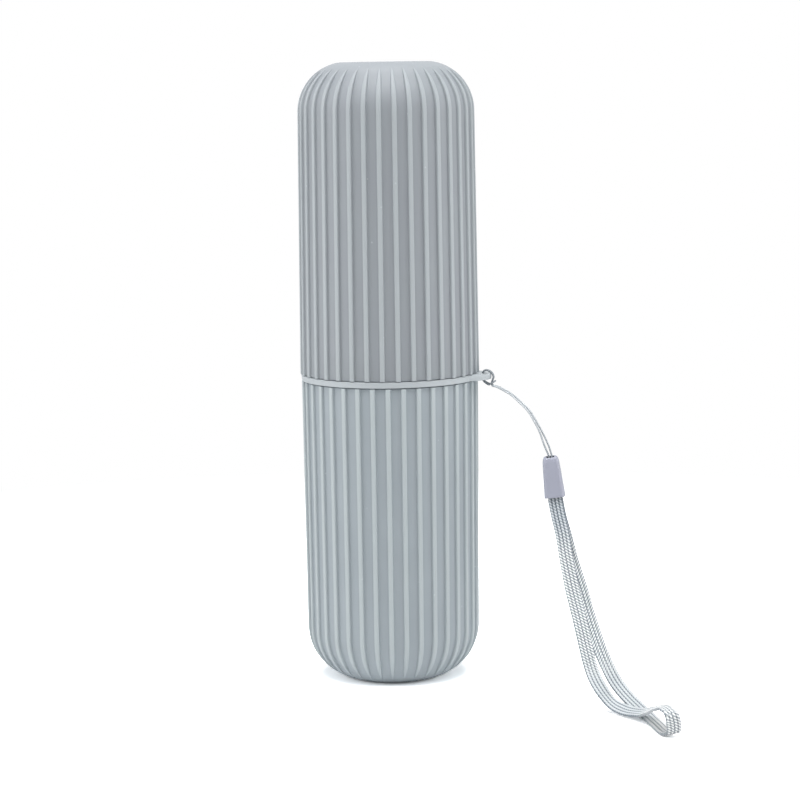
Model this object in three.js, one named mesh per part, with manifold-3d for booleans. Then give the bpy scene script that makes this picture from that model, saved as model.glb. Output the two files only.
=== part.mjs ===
// Toothbrush travel case: two ribbed cups with domed ends, joined mouth to mouth by a collar.
// The collar carries an ear, and a wrist lanyard is hitched to the ear.
// The upper cup pulls straight off the collar's neck, and the collar turns in the lower cup.
// Millimetres, +Z up. The origin is the centre of the foot, and the ear points along +X.

import * as THREE from 'three';
import { mergeVertices } from 'three/addons/utils/BufferGeometryUtils.js';
import Module from 'manifold-3d';

const wasm = await Module();
wasm.setup();

// The two cups, each drawn standing on its closed end with its mouth up.
// A cup is widest at its mouth, because the mould needs draft to let it go. The closed end has a
// large round corner, and the flat end cuts it off just short of its lowest point.
const lowerCup = { height: 102.5, mouthRadius: 30.1, draftDegrees: 0.37, cornerRadius: 18.3, flatCut: 0.55 };
const rimStep = 0.45;
const upperCup = {
  height: 105,
  mouthRadius: lowerCup.mouthRadius + rimStep,
  draftDegrees: 0.45,
  cornerRadius: 16.7,
  flatCut: 0.2,
};
const wallThickness = 1.5;

// The ribs, which stand on the wall all round. On the closed end each one starts as a narrow tip
// that rises out of the surface. The reaches are distances from the edge of the flat: where the tip
// starts, where the rib has its full height, and where it has its full width.
const ribCount = 36;
const ribHeight = 0.9;
const ribFootWidth = 1.8;
const ribShoulderWidth = 1.45;
const ribCrestWidth = 0.85;
const ribShoulderShare = 0.78;
const ribTipShare = 0.3;
const ribStartReach = 4.9;
const ribHighReach = 8.3;
const ribWideReach = 13;
const upperRibTurnDegrees = 6.7;

// The collar: a sleeve in the lower cup, a band between the rims and a neck in the upper cup.
const seamGap = 0.3;
const fitGap = 0.3;
const bandHeight = 1.9;
const bandEdge = 0.35;
const bandTopInset = 0.2;
const sleeveWall = 1.4;
const sleeveDepth = 8;
const neckHeight = 9;
const leadIn = 0.6;

// The snap bead on the sleeve, which holds the collar in the lower cup and lets it turn.
const snapBeadHeight = 0.5;
const snapBeadWidth = 0.8;
const snapBeadSlope = 0.5;
const snapBeadRise = 3;

// The ear on the band, with a slot for the lanyard's cord.
const slotOutset = 2.05;
const slotWidth = 1.5;
const slotStraight = 0.9;
const earOuterBar = 2.15;
const earNoseHalfWidth = 4.6;
const earRootHalfWidth = 8.5;
const earRootDepth = 1.4;
const earBevel = 0.35;

// The cord of the lanyard: one thin cord from the cap to the ear, hitched there, and back to the cap.
const cordDiameter = 0.6;
const cordSides = 8;

// The wrist strap: flat webbing folded into a loop, with both ends bunched into the crimp.
const strapWidth = 4.7;
const strapThickness = 1;
const strapEdgeRadius = 0.25;
const strapBunchShare = 0.5;
const strapCrimpedLength = 2.4;
const strapOpeningLength = 3;

// The cap over the joint of cord and strap, narrower at its shoulders than at its mouth.
const capLength = 13.8;
const capMouthWidth = 6.7;
const capMouthDepth = 4.7;
const capCornerRadius = 1;
const capTaperShare = 0.81;
const capShoulderHeight = 3;
const capShoulderInset = 1;
const capWall = 0.65;
const capRoof = 1.4;
const capSlotLength = 2.7;
const capSlotWidth = 1.2;
const capRows = 6;
const capCornerSegments = 3;

// The crimp inside the cap: a flat metal sleeve pressed round the ends of strap and cord.
const crimpLength = 5;
const crimpWall = 0.25;
const crimpInset = 2.2;
const crimpCornerRadius = 0.7;

// How far a cut runs past the face that it opens, and how finely the round pieces are cut.
const cutOverrun = 1;
const mouldedSegments = 60;
const arcSegments = 6;

// Where the lanyard meets its cap: the cord at the roof, and the strap's two layers at the mouth.
// The rows are read as those of the routes below.
const cordAtRoof = [58, -21.9, 80, 0.52, 0, 0];
const strapAtMouth = [59.55, -22.8, 66.2, 1, 0, 0];
const strapBackAtMouth = [59.65, -21.6, 66.2, 1, 0, 0];

// The cord's route from inside the cap to the ear and round its outer bar. Each row is a point
// midway between the two runs of the cord, then half the way from one run to the other.
const cordRoute = [
  [58.95, -22.1, 71.4, 0.46, 0, 0],
  [58.5, -22, 75.5, 0.5, 0, 0],
  cordAtRoof,
  [57.2, -21.15, 82, 0.62, 0.25, 0],
  [56.3, -20.3, 83.9, 0.6, 0.45, 0],
  [54.6, -18.7, 87.3, 0.38, 0.38, 0],
  [52.3, -16.7, 90.9, 0.31, 0.34, 0],
  [50, -14.7, 93.9, 0.3, 0.34, 0],
  [46.9, -12, 96.3, 0.3, 0.34, 0],
  [43.5, -8.9, 98.5, 0.3, 0.34, 0],
  [39.5, -5.5, 100.1, 0.3, 0.34, 0],
  [37.6, -3.5, 100.6, 0.27, 0.38, 0],
  [36.4, -1.8, 100.6, 0.2, 0.42, 0],
  [35.65, -0.6, 100.6, 0.08, 0.42, 0],
  [35.25, 0, 101.25, 0, 0.42, 0],
  [35.5, 0, 102.4, 0, 0.45, 0],
  [35.85, 0, 103.4, 0, 0.45, 0],
  [35.5, 0, 104.6, 0, 0.45, 0],
  [34.5, 0, 105.5, 0, 0.45, 0],
  [33.2, 0, 105.8, 0, 0.45, 0],
  [32.35, 0, 105.25, 0, 0.45, 0],
  [32.15, 0, 104.1, 0, 0.45, 0],
  [32.15, 0, 102.9, 0, 0.48, 0],
  [32.6, 0, 102.1, 0, 0.65, 0],
  [33.5, 0, 101.4, 0, 1, 0],
  [34.5, 0, 101, 0, 1.28, 0],
  [35.65, 0, 101.65, 0, 1.18, 0],
];
const cordBight = [36.45, 0, 102.15];

// The strap's route, from the crimp down to the table, round the end of the loop and back.
// Each row is a point on its centre line, then the direction across its width.
const strapRoute = [
  [59.05, -22.6, 70.7, 1, 0, 0],
  [59.31, -22.68, 68.3, 1, 0, 0],
  strapAtMouth,
  [60.9, -24.5, 60.4, 0.99, -0.12, 0],
  [62.5, -26.6, 54.8, 0.99, -0.13, 0.05],
  [64, -28.7, 47.2, 0.99, -0.04, 0.11],
  [66.2, -31.6, 37.8, 0.93, 0.31, 0.18],
  [69.1, -35, 27.9, 0.82, 0.51, 0.28],
  [71.8, -37.9, 17.9, 0.74, 0.57, 0.36],
  [73.8, -39.9, 11.8, 0.66, 0.64, 0.4],
  [76.9, -42.9, 7, 0.56, 0.71, 0.44],
  [80.6, -45.2, 3.2, 0.29, 0.86, 0.42],
  [85.4, -49.6, 2, -0.03, 0.94, 0.34],
  [90.4, -54.6, 2.6, -0.07, 0.99, 0.1],
  [94.6, -60.5, 4.9, 0.06, 1, -0.02],
  [98.2, -69, 8, 0.33, 0.95, -0.02],
  [100.8, -75.2, 9.4, 0.59, 0.81, 0],
  [102.6, -77.5, 8.4, 0.82, 0.58, -0.05],
  [103.4, -76.4, 5, 0.9, 0.44, -0.03],
  [103.1, -74.7, 1.9, 0.85, 0.53, 0.04],
  [101, -71.9, 1, 0.7, 0.71, 0.08],
  [97.2, -62.6, 1, 0.68, 0.72, 0.13],
  [92.8, -51.9, 1.2, 0.69, 0.71, 0.15],
  [88.8, -44.8, 2.2, 0.7, 0.66, 0.26],
  [84.7, -40.9, 4.9, 0.72, 0.62, 0.31],
  [81.1, -37.8, 8.4, 0.76, 0.57, 0.31],
  [78, -35.2, 13.2, 0.8, 0.54, 0.27],
  [74.9, -32.8, 19.5, 0.83, 0.51, 0.22],
  [71.6, -30.2, 27.9, 0.87, 0.46, 0.17],
  [68.8, -28.3, 36.5, 0.93, 0.36, 0.11],
  [65.4, -26, 46, 0.98, 0.19, 0.06],
  [62.9, -24.3, 54.3, 1, -0.02, 0],
  [61, -22.7, 60.1, 0.99, -0.11, 0],
  strapBackAtMouth,
  [59.33, -21.62, 68.3, 1, 0, 0],
  [59.05, -21.6, 70.7, 1, 0, 0],
];

// Heights that follow from the stack of cup, gap, band, gap and cup.
const bandBottom = lowerCup.height + seamGap;
const bandTop = bandBottom + bandHeight;
const upperMouthHeight = bandTop + seamGap;
const overallHeight = upperMouthHeight + upperCup.height;

// A closed solid for cutting and joining, made from a geometry.
function toSolid(geometry) {
  const bare = geometry.index ? geometry.toNonIndexed() : geometry.clone();
  bare.deleteAttribute('normal');
  bare.deleteAttribute('uv');
  const welded = mergeVertices(bare);
  const corners = [];
  for (let i = 0; i < welded.index.count; i += 3) {
    const [a, b, c] = welded.index.array.slice(i, i + 3);
    if (a !== b && b !== c && c !== a) corners.push(a, b, c);
  }
  const vertProperties = new Float32Array(welded.getAttribute('position').array);
  return new wasm.Manifold(new wasm.Mesh({ numProp: 3, vertProperties, triVerts: new Uint32Array(corners) }));
}

// The geometry of a closed solid.
function toGeometry(solid) {
  const { vertProperties, triVerts } = solid.getMesh();
  const geometry = new THREE.BufferGeometry();
  geometry.setAttribute('position', new THREE.BufferAttribute(new Float32Array(vertProperties), 3));
  geometry.setIndex(new THREE.BufferAttribute(new Uint32Array(triVerts), 1));
  geometry.computeVertexNormals();
  return geometry;
}

// A profile of [radius, height] pairs, turned round the Z axis.
function revolve(profile, segments) {
  const points = profile.map(([radius, height]) => new THREE.Vector2(radius, height));
  return new THREE.LatheGeometry(points, segments).rotateX(Math.PI / 2);
}

// The radius of a cup's rib crests at a height on its straight wall.
function crestRadius(cup, height) {
  return cup.mouthRadius - (cup.height - height) * Math.tan(THREE.MathUtils.degToRad(cup.draftDegrees));
}

// The radius of a cup's smooth inner wall at a height.
function innerRadius(cup, height) {
  return crestRadius(cup, height) - ribHeight - wallThickness;
}

// The height at which a cup's round corner meets its straight wall.
function cornerHeight(cup) {
  return cup.cornerRadius - cup.flatCut;
}

// The outline of a cup through its rib crests, from the edge of the closed end to the mouth.
// Each point has its outward normal, and the shares of the rib's full height and width there.
function crestOutline(cup) {
  const centreRadius = crestRadius(cup, cornerHeight(cup)) - cup.cornerRadius;
  const lastAngle = Math.asin(cornerHeight(cup) / cup.cornerRadius);
  const flatRadius = centreRadius + cup.cornerRadius * Math.cos(lastAngle);
  const angleShares = [1, 0.79, 0.68, 0.5, 0.27, 0];
  const outline = angleShares.map((share) => {
    const angle = lastAngle * share;
    const radius = centreRadius + cup.cornerRadius * Math.cos(angle);
    const height = cornerHeight(cup) - cup.cornerRadius * Math.sin(angle);
    const reach = radius - flatRadius;
    const rise = THREE.MathUtils.clamp((reach - ribStartReach) / (ribHighReach - ribStartReach), 0, 1);
    const breadth = THREE.MathUtils.smoothstep(reach, ribStartReach, ribWideReach);
    const spread = THREE.MathUtils.lerp(ribTipShare, 1, breadth);
    return { radius, height, out: Math.cos(angle), up: -Math.sin(angle), rise, spread };
  });
  outline.push({ radius: cup.mouthRadius, height: cup.height, out: 1, up: 0, rise: 1, spread: 1 });
  return outline;
}

// The corners of one rib's section: how far they lie to the side, and their share of its height.
const ribSection = [
  { aside: -ribFootWidth / 2, share: 0 },
  { aside: -ribShoulderWidth / 2, share: ribShoulderShare },
  { aside: -ribCrestWidth / 2, share: 1 },
  { aside: ribCrestWidth / 2, share: 1 },
  { aside: ribShoulderWidth / 2, share: ribShoulderShare },
  { aside: ribFootWidth / 2, share: 0 },
];

// The ribbed outside of a cup as a solid body: its outline is turned round the axis,
// and each turned point is then moved to its place on the nearest rib's section.
function ribbedBody(cup) {
  const outline = crestOutline(cup);
  const profile = [[0, 0], ...outline.map(({ radius, height }) => [radius, height]), [0, cup.height]];
  const geometry = revolve(profile, ribCount * ribSection.length);
  const position = geometry.getAttribute('position');
  for (let i = 0; i < position.count; i += 1) {
    const point = outline[(i % profile.length) - 1];
    if (!point) continue;
    const corner = Math.floor(i / profile.length);
    const { aside, share } = ribSection[corner % ribSection.length];
    const drop = ribHeight * point.rise * (1 - share);
    const radius = point.radius - drop * point.out;
    const rib = Math.floor(corner / ribSection.length);
    const angle = (rib * 2 * Math.PI) / ribCount + (aside * point.spread) / radius;
    position.setXYZ(i, radius * Math.cos(angle), radius * Math.sin(angle), point.height - drop * point.up);
  }
  return toSolid(geometry);
}

// The smooth inside of a cup: a flat floor, a round corner and a drafted wall.
// A cup with a snap groove has it round the inside, where the collar's bead sits.
function cavity(cup, grooved) {
  const corner = cup.cornerRadius - ribHeight - wallThickness;
  const centreHeight = cornerHeight(cup);
  const centreRadius = crestRadius(cup, centreHeight) - cup.cornerRadius;
  const profile = [[0, centreHeight - corner]];
  for (let i = arcSegments; i >= 0; i -= 1) {
    const angle = (i / arcSegments) * (Math.PI / 2);
    profile.push([centreRadius + corner * Math.cos(angle), centreHeight - corner * Math.sin(angle)]);
  }
  if (grooved) {
    const middle = cup.height + seamGap - sleeveDepth + snapBeadRise;
    const half = snapBeadWidth / 2 + fitGap;
    const bottom = middle - half - snapBeadSlope;
    const top = middle + half + snapBeadSlope;
    profile.push([innerRadius(cup, bottom), bottom]);
    profile.push([innerRadius(cup, middle) + snapBeadHeight, middle - half]);
    profile.push([innerRadius(cup, middle) + snapBeadHeight, middle + half]);
    profile.push([innerRadius(cup, top), top]);
  }
  const mouth = cup.height + cutOverrun;
  profile.push([innerRadius(cup, mouth), mouth], [0, mouth]);
  return toSolid(revolve(profile, mouldedSegments));
}

// A whole cup, standing on its closed end.
function cupGeometry(cup, grooved) {
  return toGeometry(ribbedBody(cup).subtract(cavity(cup, grooved)));
}

// The collar's ring: sleeve, snap bead, band and neck in one profile round the bore.
function collarRing() {
  const sleeveBottom = bandBottom - sleeveDepth;
  const neckTop = bandTop + neckHeight;
  const sleeveRadius = (height) => innerRadius(lowerCup, height) - fitGap;
  const neckRadius = (height) => innerRadius(upperCup, upperCup.height + upperMouthHeight - height) - fitGap;
  const bore = Math.min(sleeveRadius(sleeveBottom), neckRadius(neckTop)) - sleeveWall;
  const bead = sleeveBottom + snapBeadRise;
  const beadRadius = sleeveRadius(bead) + snapBeadHeight;
  const beadLow = bead - snapBeadWidth / 2;
  const beadHigh = bead + snapBeadWidth / 2;
  const bandTopRadius = upperCup.mouthRadius - bandTopInset;
  const profile = [
    [bore, sleeveBottom],
    [sleeveRadius(sleeveBottom) - leadIn, sleeveBottom],
    [sleeveRadius(sleeveBottom), sleeveBottom + leadIn],
    [sleeveRadius(beadLow - snapBeadSlope), beadLow - snapBeadSlope],
    [beadRadius, beadLow],
    [beadRadius, beadHigh],
    [sleeveRadius(beadHigh + snapBeadSlope), beadHigh + snapBeadSlope],
    [sleeveRadius(bandBottom), bandBottom],
    [lowerCup.mouthRadius - bandEdge, bandBottom],
    [lowerCup.mouthRadius, bandBottom + bandEdge],
    [bandTopRadius, bandTop - bandEdge],
    [bandTopRadius - bandEdge, bandTop],
    [neckRadius(bandTop), bandTop],
    [neckRadius(neckTop), neckTop - leadIn],
    [neckRadius(neckTop) - leadIn, neckTop],
    [bore, neckTop],
    [bore, sleeveBottom],
  ];
  return toSolid(revolve(profile, mouldedSegments));
}

// The ear: a flat, broad nose that swells out of the band, with a slot near its tip.
function earTab() {
  const rootRadius = lowerCup.mouthRadius - earRootDepth;
  const slotCentre = lowerCup.mouthRadius + slotOutset;
  const tip = slotCentre + slotWidth / 2 + earOuterBar;
  const outline = new THREE.Shape();
  outline.moveTo(rootRadius, -earRootHalfWidth);
  outline.quadraticCurveTo(tip, -earNoseHalfWidth, tip, 0);
  outline.quadraticCurveTo(tip, earNoseHalfWidth, rootRadius, earRootHalfWidth);
  outline.closePath();
  const slot = new THREE.Path();
  slot.absarc(slotCentre, slotStraight / 2, slotWidth / 2, 0, Math.PI, false);
  slot.absarc(slotCentre, -slotStraight / 2, slotWidth / 2, Math.PI, 2 * Math.PI, false);
  outline.holes.push(slot);
  const tab = new THREE.ExtrudeGeometry(outline, {
    depth: bandHeight - 2 * earBevel,
    bevelThickness: earBevel,
    bevelSize: earBevel,
    bevelOffset: -earBevel,
    bevelSegments: 2,
    curveSegments: arcSegments,
  });
  return toSolid(tab.translate(0, 0, bandBottom + earBevel));
}

// A rectangle with round corners, centred on the origin. Its corners are no rounder than it is deep.
function roundedRectangle(width, depth, radius) {
  const corner = Math.min(radius, width / 2, depth / 2);
  const x = width / 2 - corner;
  const y = depth / 2 - corner;
  const outline = new THREE.Shape();
  outline.absarc(x, y, corner, 0, Math.PI / 2, false);
  outline.absarc(-x, y, corner, Math.PI / 2, Math.PI, false);
  outline.absarc(-x, -y, corner, Math.PI, 1.5 * Math.PI, false);
  outline.absarc(x, -y, corner, 1.5 * Math.PI, 2 * Math.PI, false);
  return outline;
}

// A prism of unit length along Z, bent so that its section stands square to a route.
// The frame at a share of the length gives the centre, the two directions of the section and its size.
function bendAlong(section, steps, frameAt) {
  const options = { depth: 1, steps, bevelEnabled: false, curveSegments: 1 };
  const geometry = new THREE.ExtrudeGeometry(section, options);
  const position = geometry.getAttribute('position');
  for (let i = 0; i < position.count; i += 1) {
    const { centre, across, through, size } = frameAt(position.getZ(i));
    const place = centre
      .clone()
      .addScaledVector(across, size * position.getX(i))
      .addScaledVector(through, size * position.getY(i));
    position.setXYZ(i, place.x, place.y, place.z);
  }
  return geometry;
}

// The cord's whole route: out along one run, through the bight and back along the other run.
function cordPoints() {
  const run = (side) =>
    cordRoute.map(([x, y, z, dx, dy, dz]) => new THREE.Vector3(x + side * dx, y + side * dy, z + side * dz));
  return [...run(-1), new THREE.Vector3(...cordBight), ...run(1).reverse()];
}

// A smooth route whose steps follow its points, so that the tight hitch gets the short steps.
class SteppedRoute extends THREE.CatmullRomCurve3 {
  getUtoTmapping(share) {
    return share;
  }
}

function cordGeometry() {
  const points = cordPoints();
  const section = new THREE.Shape();
  for (let i = 0; i < cordSides; i += 1) {
    const angle = (i * 2 * Math.PI) / cordSides;
    const x = (cordDiameter / 2) * Math.cos(angle);
    const y = (cordDiameter / 2) * Math.sin(angle);
    if (i === 0) section.moveTo(x, y);
    else section.lineTo(x, y);
  }
  section.closePath();
  const extrudePath = new SteppedRoute(points, false, 'centripetal');
  return new THREE.ExtrudeGeometry(section, { extrudePath, steps: points.length - 1, bevelEnabled: false });
}

function strapGeometry() {
  const centres = strapRoute.map(([x, y, z]) => new THREE.Vector3(x, y, z));
  const widths = strapRoute.map(([, , , x, y, z]) => new THREE.Vector3(x, y, z));
  const route = new SteppedRoute(centres, false, 'centripetal');
  const widthRoute = new SteppedRoute(widths, false, 'catmullrom');
  const steps = strapRoute.length - 1;
  const length = route.getLength();
  const travelled = route.getLengths(steps * arcSegments);
  const section = roundedRectangle(strapWidth, strapThickness, strapEdgeRadius);
  return bendAlong(section, steps, (share) => {
    const centre = route.getPoint(share);
    const along = route.getTangent(share);
    const across = widthRoute.getPoint(share);
    across.addScaledVector(along, -across.dot(along)).normalize();
    const through = new THREE.Vector3().crossVectors(along, across);
    const fromStart = travelled[Math.round(share * (travelled.length - 1))];
    const fromEnd = Math.min(fromStart, length - fromStart);
    const free = fromEnd - strapCrimpedLength;
    const opened = THREE.MathUtils.smoothstep(free, 0, strapOpeningLength);
    return { centre, across, through, size: strapBunchShare + (1 - strapBunchShare) * opened };
  });
}

// The share of the cap's mouth size that is left at a height, and how far its shoulders draw in there.
function capSizeAt(height) {
  const shoulder = capLength - capShoulderHeight;
  const taper = THREE.MathUtils.lerp(1, capTaperShare, Math.min(height / shoulder, 1));
  const over = Math.max(height - shoulder, 0) / capShoulderHeight;
  return { taper, inset: capShoulderInset * (1 - Math.sqrt(1 - over * over)) };
}

// A round-cornered block that follows the cap's taper and shoulders up to a height.
function capBlock(width, depth, radius, length) {
  const section = roundedRectangle(width, depth, radius);
  const geometry = new THREE.ExtrudeGeometry(section, {
    depth: length,
    steps: capRows,
    bevelEnabled: false,
    curveSegments: capCornerSegments,
  });
  const position = geometry.getAttribute('position');
  for (let i = 0; i < position.count; i += 1) {
    const height = length * Math.sin((position.getZ(i) / length) * (Math.PI / 2));
    const { taper, inset } = capSizeAt(height);
    const x = position.getX(i) * taper * (1 - inset / (width / 2));
    const y = position.getY(i) * taper * (1 - inset / (depth / 2));
    position.setXYZ(i, x, y, height);
  }
  return toSolid(geometry);
}

// A straight prism along Z with round corners, from one height up to another.
function roundedPrism(width, depth, radius, bottom, top) {
  const section = roundedRectangle(width, depth, radius);
  const options = { depth: top - bottom, bevelEnabled: false, curveSegments: capCornerSegments };
  return toSolid(new THREE.ExtrudeGeometry(section, options).translate(0, 0, bottom));
}

// The cap's hollow at its mouth.
const capInnerWidth = capMouthWidth - 2 * capWall;
const capInnerDepth = capMouthDepth - 2 * capWall;
const capInnerCorner = capCornerRadius - capWall;

// The cap: hollow from its mouth up to its roof, with a slot in the roof for the cord.
function capGeometry() {
  const roof = capLength - capRoof;
  const block = capBlock(capMouthWidth, capMouthDepth, capCornerRadius, capLength);
  const hollow = capBlock(capInnerWidth, capInnerDepth, capInnerCorner, roof);
  const mouth = roundedPrism(capInnerWidth, capInnerDepth, capInnerCorner, -cutOverrun, capWall);
  const slotTop = capLength + cutOverrun;
  const slot = roundedPrism(capSlotLength, capSlotWidth, capSlotWidth / 2, roof - capWall, slotTop);
  return toGeometry(block.subtract(hollow).subtract(mouth).subtract(slot));
}

// The crimp: a flat tube, open at both ends, which fits the cap's hollow at its upper end.
function crimpGeometry() {
  const top = crimpInset + crimpLength;
  const { taper } = capSizeAt(top);
  const width = capInnerWidth * taper - 2 * fitGap;
  const depth = capInnerDepth * taper - 2 * fitGap;
  const boreWidth = width - 2 * crimpWall;
  const boreDepth = depth - 2 * crimpWall;
  const boreCorner = crimpCornerRadius - crimpWall;
  const bore = roundedPrism(boreWidth, boreDepth, boreCorner, crimpInset - cutOverrun, top + cutOverrun);
  return toGeometry(roundedPrism(width, depth, crimpCornerRadius, crimpInset, top).subtract(bore));
}

// The moulded plastic, the silvery cord and webbing, the paler cap and the tinned crimp.
const cupPlastic = () => new THREE.MeshStandardMaterial({ color: '#aeb7bc', roughness: 0.55, metalness: 0 });
const cordYarn = () => new THREE.MeshStandardMaterial({ color: '#c3cad0', roughness: 0.6, metalness: 0 });
const capPlastic = () => new THREE.MeshStandardMaterial({ color: '#a9abbd', roughness: 0.5, metalness: 0 });
const crimpMetal = () => new THREE.MeshStandardMaterial({ color: '#b9bcc0', roughness: 0.35, metalness: 1 });

const part = new THREE.Group();

function addPiece(name, geometry, material, parent = part) {
  const mesh = new THREE.Mesh(geometry, material);
  mesh.name = name;
  parent.add(mesh);
  return mesh;
}

addPiece('lower_cup', cupGeometry(lowerCup, true), cupPlastic());
addPiece('joining_collar', toGeometry(collarRing().add(earTab())), cupPlastic());

// The upper cup is turned over onto the neck, and stands a little round from the lower one's ribs.
const upper = addPiece('upper_cup', cupGeometry(upperCup, false), cupPlastic());
upper.position.z = overallHeight;
upper.rotation.set(Math.PI, 0, -THREE.MathUtils.degToRad(upperRibTurnDegrees));

addPiece('hitch_cord', cordGeometry(), cordYarn());
addPiece('wrist_strap', strapGeometry(), cordYarn());

// The cap and its crimp hang in line with the cord and the strap: the axis runs from the cord
// at the roof down to the middle of the strap's two layers at the mouth.
const capGroup = new THREE.Group();
const capTop = new THREE.Vector3(...cordAtRoof);
const strapMiddle = new THREE.Vector3(...strapAtMouth).lerp(new THREE.Vector3(...strapBackAtMouth), 1 / 2);
const capUp = capTop.clone().sub(strapMiddle).normalize();
const capAcross = new THREE.Vector3(1, 0, 0).addScaledVector(capUp, -capUp.x).normalize();
const capThrough = new THREE.Vector3().crossVectors(capUp, capAcross);
capGroup.position.copy(capTop).addScaledVector(capUp, -capLength);
capGroup.quaternion.setFromRotationMatrix(new THREE.Matrix4().makeBasis(capAcross, capThrough, capUp));
part.add(capGroup);
addPiece('cord_cap', capGeometry(), capPlastic(), capGroup);
addPiece('cord_crimp', crimpGeometry(), crimpMetal(), capGroup);

export default part;
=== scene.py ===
# %% [markdown]
# # A toothbrush travel case
# The case has the shape of a tall capsule. Two ribbed cups meet mouth to mouth at a thin collar,
# and a wrist lanyard is hitched to the collar's ear.
# The CAD model comes in first and stays where it is. Each piece is then made over its CAD node,
# in the same frame, and rides on that node's body, so that the joints carry the finished looks.

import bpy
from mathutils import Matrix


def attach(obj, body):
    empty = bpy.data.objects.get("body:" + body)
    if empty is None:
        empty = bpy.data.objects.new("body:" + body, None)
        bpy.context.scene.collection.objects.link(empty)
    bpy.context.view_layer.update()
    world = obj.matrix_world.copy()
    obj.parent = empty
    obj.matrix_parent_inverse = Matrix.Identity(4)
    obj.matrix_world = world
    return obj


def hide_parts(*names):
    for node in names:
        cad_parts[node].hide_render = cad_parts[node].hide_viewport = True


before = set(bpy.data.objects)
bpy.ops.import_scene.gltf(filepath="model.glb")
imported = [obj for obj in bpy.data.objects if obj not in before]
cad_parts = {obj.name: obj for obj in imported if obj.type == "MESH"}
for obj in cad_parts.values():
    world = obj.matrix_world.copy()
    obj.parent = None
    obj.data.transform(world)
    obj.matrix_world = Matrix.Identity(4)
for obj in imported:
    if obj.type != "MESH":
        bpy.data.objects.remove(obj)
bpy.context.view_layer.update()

# %% Modules and the unit
import math

import bmesh
import bpy
import numpy as np
from mathutils import Matrix, Vector

mm = 0.001


# %% Put an object in the scene
def new_object(name, data):
    """An object that holds the data, in the scene."""
    added = bpy.data.objects.new(name, data)
    bpy.context.scene.collection.objects.link(added)
    return added


print("one unit of the scene is", round(1 / mm), "mm")

# %% [markdown]
# ## The camera
# A long lens looks from a little above the middle of the case. Its place, turn, pitch, roll and
# focal length were fitted to the case's outline in the photograph, so that a render can be laid
# over it. The axes are built from the three angles, because that keeps each angle readable.

# %% Camera axes
camera_place = Vector((168.83, -835.56, 204.24)) * mm
camera_turn = math.radians(11.2)
camera_pitch = math.radians(7.292)
camera_roll = math.radians(0.849)
lens_length = 112.93
farthest_seen = 20000

upward = Vector((0, 0, 1))
level_right = Vector((math.cos(camera_turn), math.sin(camera_turn), 0))
level_ahead = Vector((-math.sin(camera_turn), math.cos(camera_turn), 0))
view_ahead = level_ahead * math.cos(camera_pitch) - upward * math.sin(camera_pitch)
pitched_up = level_ahead * math.sin(camera_pitch) + upward * math.cos(camera_pitch)
view_right = level_right * math.cos(camera_roll) - pitched_up * math.sin(camera_roll)
view_up = level_right * math.sin(camera_roll) + pitched_up * math.cos(camera_roll)
print("the camera looks along", [round(value, 3) for value in view_ahead])

# %% Camera
camera = new_object("camera", bpy.data.cameras.new("camera"))
camera.data.lens = lens_length
camera.data.clip_end = farthest_seen * mm
camera_axes = Matrix((view_right, view_up, -view_ahead)).transposed()
camera.matrix_world = Matrix.Translation(camera_place) @ camera_axes.to_4x4()
bpy.context.scene.camera = camera
bpy.context.scene.view_settings.view_transform = "Standard"
print("camera at", [round(value, 3) for value in camera_place], "lens", lens_length)

# %% [markdown]
# ## A mesh from rings of points
# A cord, a strap, a cup and a cap are all rows of rings with the same number of points each.
# Bevelled curves or modifiers could make some of them, but rings written out in numpy allow ribs,
# hollows and knitted ridges in the same way. The map measures millimetres round the ring and
# along the piece, so that a woven pattern can follow the yarns.


# %% Loft rings into a piece
def loft(name, rings, joined=False, around=None, along=None):
    """A piece through rings of points in mm. Its ends are flat, or joined to each other."""
    count, size, _ = rings.shape
    spans = count if joined else count - 1
    ring, side = np.meshgrid(np.arange(spans), np.arange(size), indexing="ij")
    ahead = (ring + 1) % count
    beside = (side + 1) % size
    corners = [ring * size + side, ring * size + beside, ahead * size + beside, ahead * size + side]
    faces = np.stack(corners, axis=-1).reshape(-1, 4).tolist()
    if not joined:
        faces.append(list(range(size))[::-1])
        faces.append(list(range((count - 1) * size, count * size)))
    mesh = bpy.data.meshes.new(name)
    mesh.from_pydata((rings.reshape(-1, 3) * mm).tolist(), [], faces)
    if around is not None:
        span = [(ring, side), (ring, side + 1), (ring + 1, side + 1), (ring + 1, side)]
        places = np.stack([np.stack([around[s], along[r]], axis=-1) for r, s in span], axis=-2)
        flat = np.zeros(len(mesh.loops) * 2)
        flat[: places.size] = places.ravel()
        mesh.uv_layers.new(name="yarn").data.foreach_set("uv", flat)
    outward = bmesh.new()
    outward.from_mesh(mesh)
    bmesh.ops.recalc_face_normals(outward, faces=outward.faces)
    outward.to_mesh(mesh)
    outward.free()
    mesh.shade_smooth()
    print(name, "has", len(mesh.polygons), "faces")
    return new_object(name, mesh)


# %% [markdown]
# ## Routes
# The cord and the strap follow the same points as their CAD solids. A Catmull-Rom curve passes
# through every given point, so the route stays easy to correct. Its centripetal form, which
# spaces the points by the root of their distance, doesn't loop over itself at tight places.


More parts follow.
